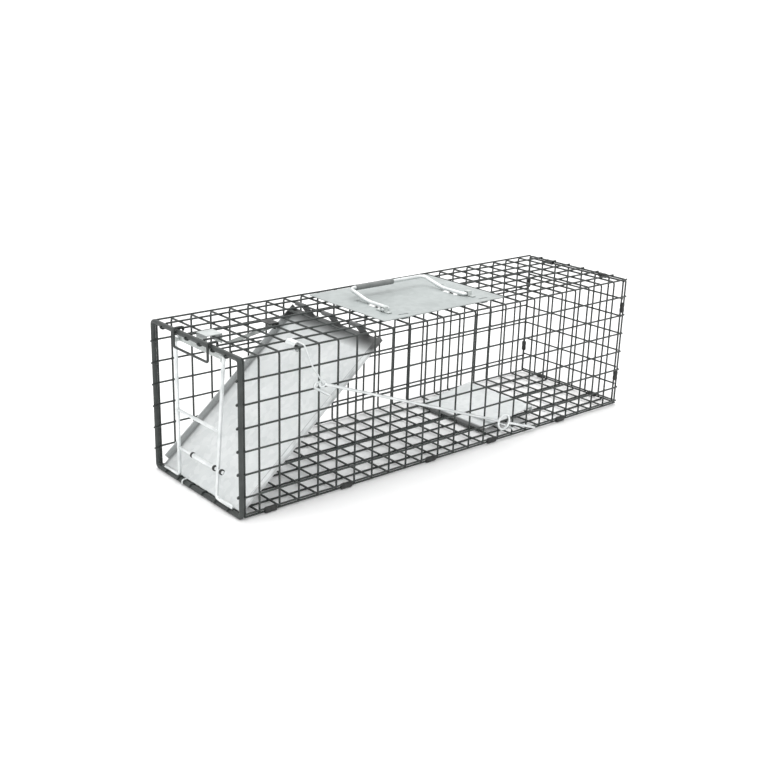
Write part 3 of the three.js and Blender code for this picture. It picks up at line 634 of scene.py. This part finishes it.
for y, z, kind in long_wires:
    if kind == "z":
        mouth.sweep(hook(y, z, (0, 0, -1 if z > height / 2 else 1)), mesh_wire * 0.92, sides=8)
    elif kind == "y":
        mouth.sweep(hook(y, z, (0, -1 if y > 0 else 1, 0)), mesh_wire * 0.92, sides=8)
mouth.piece("mouth_frame", coated, "coated_mesh", "cage", ["front_frame"])

# %% [markdown]
# ## Bent wires
# The lock bar, the keeper loop, the trigger rod with its spring, the trip arm and the bail are
# all single wires with a few bends. Their routes repeat the CAD corners, so they hang from the
# same pivots and stay clear of everything when they swing. Welded crossbars are added to the
# lock bar as straight wires that lie against its two legs.

# %% Lock bar
lock_pivot = joint_at["lock_bar_hinge"]
lock_wire, lock_cross = 4.2 * mm, 3.8 * mm
lock_top_half, lock_foot_half, lock_reach = 48 * mm, 38 * mm, 69.6 * mm
lock_foot = Vector((bar_x, 0, bar + 0.3 * mm + lock_wire / 2))
lock_pin = 6.4 * mm
lock = Wires()
for side_y in (-1, 1):
    lock.sweep(
        rounded([
            (lock_pivot.x, side_y * (lock_top_half - lock_pin), lock_pivot.z),
            (lock_pivot.x, side_y * lock_top_half, lock_pivot.z),
            (lock_foot.x, side_y * lock_foot_half, lock_foot.z),
            (lock_foot.x, side_y * lock_reach, lock_foot.z),
        ], 5 * mm, 7),
        lock_wire, sides=14,
    )
for z, past in ((83.8 * mm, 0.0), (40.6 * mm, 9 * mm)):
    share = (lock_pivot.z - z) / (lock_pivot.z - lock_foot.z)
    half = lock_top_half + (lock_foot_half - lock_top_half) * share
    x = lock_pivot.x + (lock_foot.x - lock_pivot.x) * share
    lock.sweep(
        [(x, -half - 1.5 * mm - past, z), (x, half + 1.5 * mm, z)], lock_cross, sides=14,
    )
    for side_y in (-1, 1):
        lock.lump((x, side_y * half, z), (2.3 * mm, 2.6 * mm, 2.9 * mm), 10, 6)
lock.piece("lock_wire_bar", bright, "bright_wire", "lock_bar", ["lock_bar"])


# %% [markdown]
# The sleeve, its collars and the grip are tubes. Each fills its CAD box along one axis, with soft
# edges at both ends and a bore around the wire it sits on.

# %% Tubes along X or Y
def tube(name, node, along, bore, edge, material, slot, body, ridge=0.0):
    """A soft-edged tube that fills the node's box and keeps a bore of the given radius."""
    low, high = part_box(node)
    centre = (low + high) / 2
    across = [axis for axis in range(3) if axis != along]
    outer_radius = min(high[a] - low[a] for a in across) / 2 - ridge
    stations = max(4, round((high[along] - low[along]) / (1.2 * mm)))
    profile = [
        (low[along], bore),
        (low[along], outer_radius - edge),
        (low[along] + edge * 0.3, outer_radius - edge * 0.3),
        (low[along] + edge, outer_radius),
    ]
    for i in range(1, stations):
        at = low[along] + edge + (high[along] - low[along] - 2 * edge) * i / stations
        profile.append((at, outer_radius + ridge * math.sin(i * math.pi / 2)))
    profile += [
        (high[along] - edge, outer_radius),
        (high[along] - edge * 0.3, outer_radius - edge * 0.3),
        (high[along], outer_radius - edge),
        (high[along], bore),
    ]
    work = Wires()
    sides = 20
    for at, radius in profile:
        for k in range(sides):
            turn = 2 * math.pi * k / sides
            point = Vector((0, 0, 0))
            point[along] = at
            point[across[0]] = centre[across[0]] + radius * math.cos(turn)
            point[across[1]] = centre[across[1]] + radius * math.sin(turn)
            work.points.append(point)
    faces_out = along == 1
    for i in range(len(profile)):
        near_ring, far_ring = i * sides, ((i + 1) % len(profile)) * sides
        for k in range(sides):
            n = (k + 1) % sides
            face = (near_ring + k, near_ring + n, far_ring + n, far_ring + k)
            work.faces.append(face if faces_out else tuple(reversed(face)))
    return work.piece(name, material, slot, body, [node])


lock_bore = lock_cross / 2 + 0.15 * mm
tube("sleeve_tube", "lock_sleeve", 1, lock_bore, 0.5 * mm, bright, "bright_wire", "lock_bar")
for index in (1, 2, 3):
    tube(f"collar_ring_{index}", f"lock_collar_{index}", 1, lock_bore, 0.5 * mm,
         clip_steel, "clip_steel", "lock_bar")

# %% Keeper loop
keeper_low, keeper_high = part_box("keeper_loop")
keeper_wire = 2.8 * mm
k_front, k_back = keeper_low.x + keeper_wire / 2, keeper_high.x - keeper_wire / 2
k_half = keeper_high.y - keeper_wire / 2
k_top, k_low = keeper_high.z - keeper_wire / 2, keeper_low.z + keeper_wire / 2
keeper = Wires()
keeper.sweep(
    rounded([
        (k_back, -k_half, k_top - 4.6 * mm),
        (k_back, -k_half, k_top),
        (k_front, -k_half, k_top),
        (k_front, -k_half, k_low),
        (k_front, k_half, k_low),
        (k_front, k_half, k_top),
        (k_back, k_half, k_top),
        (k_back, k_half, k_top - 4.6 * mm),
    ], 3 * mm, 6),
    keeper_wire, sides=12,
)
keeper.piece("keeper_wire", coated, "coated_mesh", "cage", ["keeper_loop"])

# %% Trigger rod
rod_pivot = joint_at["trigger_rod_hinge"]
rod_wire = 3.2 * mm
ring_centre = Vector((80.3 * mm, rod_pivot.y, 25.4 * mm))
ring_radius, eye_radius = 9.5 * mm, 3.4 * mm
tail_end = Vector((138.94 * mm, rod_pivot.y, 4.6 * mm))
rod = Wires()


def loop(centre, radius, start, turn, steps):
    """Points round a loop in the X-Z plane, from one angle through a turn, in degrees."""
    return [
        centre + Vector((math.cos(a), 0, math.sin(a))) * radius
        for a in (math.radians(start + turn * i / steps) for i in range(steps + 1))
    ]


slope = (ring_centre - rod_pivot).normalized()
angle = math.degrees(math.atan2(slope.z, slope.x))
eye = loop(rod_pivot, eye_radius, angle + 20, 330, 16)
rod_hook = [
    rod_pivot + Vector((x, 0, z)) * mm
    for x, z in ((-2.9, 1.0), (-7.4, 3.6), (-11.2, -1.8), (11.4, -15.7))
]
rod_hook.append(rod_hook[-1] + Vector((0, 8.1 * mm, 0)))
rod.sweep(eye, rod_wire, sides=12)
straight = [rod_pivot + slope * eye_radius * 0.95, ring_centre - slope * ring_radius]
rod.sweep(straight, rod_wire, sides=12)
rod.sweep(rounded(rod_hook, 3.4 * mm, 6), rod_wire, sides=12)
rod.sweep(loop(ring_centre, ring_radius, 0, 360, 40)[:-1], rod_wire, sides=12, closed=True)
tail = (tail_end - ring_centre).normalized()
rod.sweep([ring_centre + tail * ring_radius, tail_end], rod_wire, sides=12)
rod.piece("trigger_wire", bright, "bright_wire", "trigger_rod", ["trigger_rod"])

# %% Rod spring: a real coil on the roof hoop
spring_wire = 2.0 * mm
coil_centre = Vector((frame_low.x + 3 * cell, 0, height - 3.271 * mm))
coil_mean, coil_wire = 4.9 * mm, 1.8 * mm
spring_low, spring_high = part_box("rod_spring")
coil_to = spring_high.y - coil_wire / 2
coil_from = coil_to - 18 * mm + coil_wire
turns = 8
steps = turns * 20
helix = [
    Vector((
        coil_centre.x + coil_mean * math.sin(2 * math.pi * turns * i / steps),
        coil_from + (coil_to - coil_from) * i / steps,
        coil_centre.z + coil_mean * math.cos(2 * math.pi * turns * i / steps),
    ))
    for i in range(steps + 1)
]
leg_y = spring_low.y + spring_wire / 2
leg_top = spring_high.z - spring_wire / 2
spring = Wires()
spring.sweep(helix, coil_wire, sides=9)
spring.sweep(
    rounded([
        (coil_centre.x, coil_from, leg_top),
        (coil_centre.x, leg_y, leg_top),
        (-218.19 * mm, leg_y, 154.94 * mm),
        (rod_pivot.x, leg_y, rod_pivot.z),
        (rod_pivot.x, rod_pivot.y + rod_wire / 2, rod_pivot.z),
    ], 2.6 * mm, 6),
    coil_wire, sides=10,
)
spring.piece("rod_spring_wire", bright, "bright_wire", "cage", ["rod_spring"])

# %% Trip arm
arm_low, arm_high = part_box("trip_arm")
arm_wire = 3.0 * mm
arm_x = (arm_low.x + arm_high.x) / 2
arm = Wires()
arm.sweep(
    rounded([
        (arm_x, arm_high.y, arm_low.z + arm_wire / 2),
        (arm_x, -62 * mm, arm_low.z + arm_wire / 2),
        (arm_x, -74 * mm, arm_high.z - arm_wire / 2),
        (arm_x, arm_low.y, arm_high.z - arm_wire / 2),
    ], 5 * mm, 6),
    arm_wire, sides=12,
)
arm.piece("trip_arm_wire", bright, "bright_wire", "trip_pan", ["trip_arm"])

# %% Bail and grip
bail_pivot = joint_at["handle_hinge"]
bail_wire = 4.6 * mm
grip_low, grip_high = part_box("handle_grip")
grip_y, grip_z = (grip_low.y + grip_high.y) / 2, (grip_low.z + grip_high.z) / 2
bail_low, bail_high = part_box("handle_bail")
bail_middle = (bail_low.x + bail_high.x) / 2
bail_half, toe, flat = 59 * mm, 11 * mm, 38 * mm
bail = Wires()
bail.sweep(
    rounded([
        (bail_middle - bail_half - toe, bail_pivot.y, bail_pivot.z),
        (bail_middle - bail_half, bail_pivot.y, bail_pivot.z),
        (bail_middle - bail_half, bail_pivot.y + flat, bail_pivot.z),
        (bail_middle - bail_half, grip_y, grip_z),
        (bail_middle + bail_half, grip_y, grip_z),
        (bail_middle + bail_half, bail_pivot.y + flat, bail_pivot.z),
        (bail_middle + bail_half, bail_pivot.y, bail_pivot.z),
        (bail_middle + bail_half + toe, bail_pivot.y, bail_pivot.z),
    ], 8 * mm, 8),
    bail_wire, sides=14,
)
bail.piece("bail_wire", bright, "bright_wire", "handle", ["handle_bail"])

tube("grip_sleeve", "handle_grip", 0, bail_wire / 2 + 0.1 * mm, 0.8 * mm,
     vinyl, "grip_sleeve", "handle", ridge=0.1 * mm)

# %% Hog ring
hog_low, hog_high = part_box("hog_ring")
hog_wire = 1.8 * mm
hog_y = (hog_low.y + hog_high.y) / 2
hog = Wires()
hog.sweep(
    rounded([
        (hog_low.x + hog_wire / 2, hog_y, hog_low.z + 0.3 * mm),
        (hog_low.x + hog_wire / 2, hog_y, hog_high.z - hog_wire / 2),
        (hog_high.x - 0.3 * mm, hog_y, hog_high.z - hog_wire / 2),
    ], 3.2 * mm, 6),
    hog_wire, sides=10,
)
hog.piece("hog_ring_wire", bright, "bright_wire", "cage", ["hog_ring"])

# %% [markdown]
# ## Sheet metal
# The door, pan, handle plate, brackets and leaf strip already have the right shape in CAD. What
# they lack is the soft edge that a press leaves, and without it sheet metal catches no light. So
# each one is copied, its flat areas are cleaned to single faces, and a small bevel rounds every
# sharp edge. The copy stands in for the CAD node.

# %% A rolled edge for a copied part
def pressed(node, name, material, slot, edge_radius):
    source = frame["nodes"][node]
    mesh = source.data.copy()
    mesh.name = name
    work = bmesh.new()
    work.from_mesh(mesh)
    bmesh.ops.remove_doubles(work, verts=work.verts, dist=0.02 * mm)
    bmesh.ops.dissolve_limit(
        work, angle_limit=math.radians(1.0), verts=work.verts, edges=work.edges,
    )
    work.to_mesh(mesh)
    work.free()
    mesh.materials.clear()
    mesh.materials.append(material)
    piece = bpy.data.objects.new(name, mesh)
    bpy.context.scene.collection.objects.link(piece)
    bevel = piece.modifiers.new("rolled_edge", "BEVEL")
    bevel.width = edge_radius
    bevel.segments = 2
    bevel.limit_method = "ANGLE"
    bevel.angle_limit = math.radians(35)
    bevel.harden_normals = True
    mesh.shade_smooth()
    weighted = piece.modifiers.new("flat_shading", "WEIGHTED_NORMAL")
    weighted.keep_sharp = True
    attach(piece, source["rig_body"])
    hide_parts(node)


pressed_pieces = [
    ("door", "door_panel", door_sheet, "zinc_sheet", 0.3 * mm),
    ("trip_pan", "pan_plate", pan_sheet, "grey_sheet", 0.3 * mm),
    ("handle_plate", "guard_plate", plate_sheet, "grey_sheet", 0.25 * mm),
    ("lock_bar_hanger", "hanger_bracket", zinc_sheet, "zinc_sheet", 0.25 * mm),
    ("leaf_clip", "leaf_saddle", clip_steel, "clip_steel", 0.25 * mm),
    ("leaf_spring", "leaf_strip", leaf_sheet, "clip_steel", 0.2 * mm),
    ("bail_strap_front", "strap_front", zinc_sheet, "zinc_sheet", 0.25 * mm),
    ("bail_strap_back", "strap_back", zinc_sheet, "zinc_sheet", 0.25 * mm),
]
for pressed_piece in pressed_pieces:
    pressed(*pressed_piece)
clip_nodes = sorted(n for n in frame["nodes"] if n.startswith(("back_clip", "seam_clip")))
print("sheet pieces:", len(pressed_pieces), "clips to crimp:", len(clip_nodes))

# %% [markdown]
# The clips are short strips crimped flat round two neighbouring wires, so their section is a
# rounded slot. Each one is swept as rings of that section along its wire, drawn in at both ends
# and pinched once in the middle where the pliers closed it.

# %% Crimped clips
def crimp(node):
    low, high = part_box(node)
    size = high - low
    along, across, deep = sorted(range(3), key=lambda axis: -size[axis])
    centre = (low + high) / 2
    radius = size[deep] / 2 * 0.88
    straight = size[across] / 2 * 0.92 - radius
    work = Wires()
    rings = 13
    corners = 16
    end_taper = {0: 0.78, 1: 0.96, rings - 2: 0.96, rings - 1: 0.78}
    for ring in range(rings):
        t = 2 * ring / (rings - 1) - 1
        pinch = 1 - 0.10 * math.exp(-((t / 0.22) ** 2))
        taper = end_taper.get(ring, 1.0)
        for k in range(corners):
            turn = 2 * math.pi * (k + 0.5) / corners
            point = centre.copy()
            shift = straight if math.cos(turn) > 0 else -straight
            point[along] += t * size[along] / 2
            point[across] += shift + radius * taper * pinch * math.cos(turn)
            point[deep] += radius * taper * pinch * math.sin(turn)
            work.points.append(point)
    for ring in range(rings - 1):
        for k in range(corners):
            n = (k + 1) % corners
            a, b = ring * corners, (ring + 1) * corners
            work.faces.append((a + k, a + n, b + n, b + k))
    work.faces.append(tuple(reversed(range(corners))))
    work.faces.append(tuple((rings - 1) * corners + k for k in range(corners)))
    piece = work.piece(node.replace("clip", "crimp"), clip_steel, "clip_steel", "cage", [node])
    turned = bmesh.new()
    turned.from_mesh(piece.data)
    bmesh.ops.recalc_face_normals(turned, faces=turned.faces)
    turned.to_mesh(piece.data)
    turned.free()


for node in clip_nodes:
    crimp(node)


# %% [markdown]
# ## Stage and light
# The trap stands on a plain pale floor in a bright room of even light, so the wires read dark and
# the zinc reads pale. One broad lamp overhead and behind gives the faint soft shadow along the
# bottom edge, and a weaker one in front lifts the door. The plain view transform keeps the white
# of the floor white.

# %% Floor
floor_size = 12.0
floor_mesh = bpy.data.meshes.new("floor")
floor_mesh.from_pydata(
    [(-floor_size, -floor_size, 0), (floor_size, -floor_size, 0),
     (floor_size, floor_size, 0), (-floor_size, floor_size, 0)],
    [], [(0, 1, 2, 3)],
)
floor = bpy.data.objects.new("floor", floor_mesh)
bpy.context.scene.collection.objects.link(floor)
floor_material, nodes, links, shader, place = start_material("pale_floor", 0.0, 0.7, 0.2)
links.new(
    ramp(nodes, links, noise(nodes, links, place, 3.0), [(0.3, grey(0.94)), (0.7, grey(0.96))]),
    shader.inputs["Base Color"],
)
floor_mesh.materials.append(floor_material)

# %% World and lamps
world = bpy.data.worlds.new("studio")
bpy.context.scene.world = world
world.use_nodes = True
world.node_tree.nodes["Background"].inputs["Color"].default_value = (1.0, 1.0, 1.0, 1.0)
world.node_tree.nodes["Background"].inputs["Strength"].default_value = 1.12


def lamp(name, place, aim, size, power):
    data = bpy.data.lights.new(name, "AREA")
    data.shape = "SQUARE"
    data.size = size
    data.energy = power
    light = bpy.data.objects.new(name, data)
    light.location = place
    light.rotation_mode = "QUATERNION"
    light.rotation_quaternion = (Vector(aim) - Vector(place)).to_track_quat("-Z", "Y")
    bpy.context.scene.collection.objects.link(light)


lamp("overhead", (0.3, 0.5, 1.8), (0, 0, 0), 1.6, 16)
lamp("front_fill", (-1.6, -1.4, 1.0), (-0.1, 0, 0.1), 1.2, 7)
bpy.context.scene.view_settings.view_transform = "Standard"
bpy.context.scene.view_settings.look = "None"
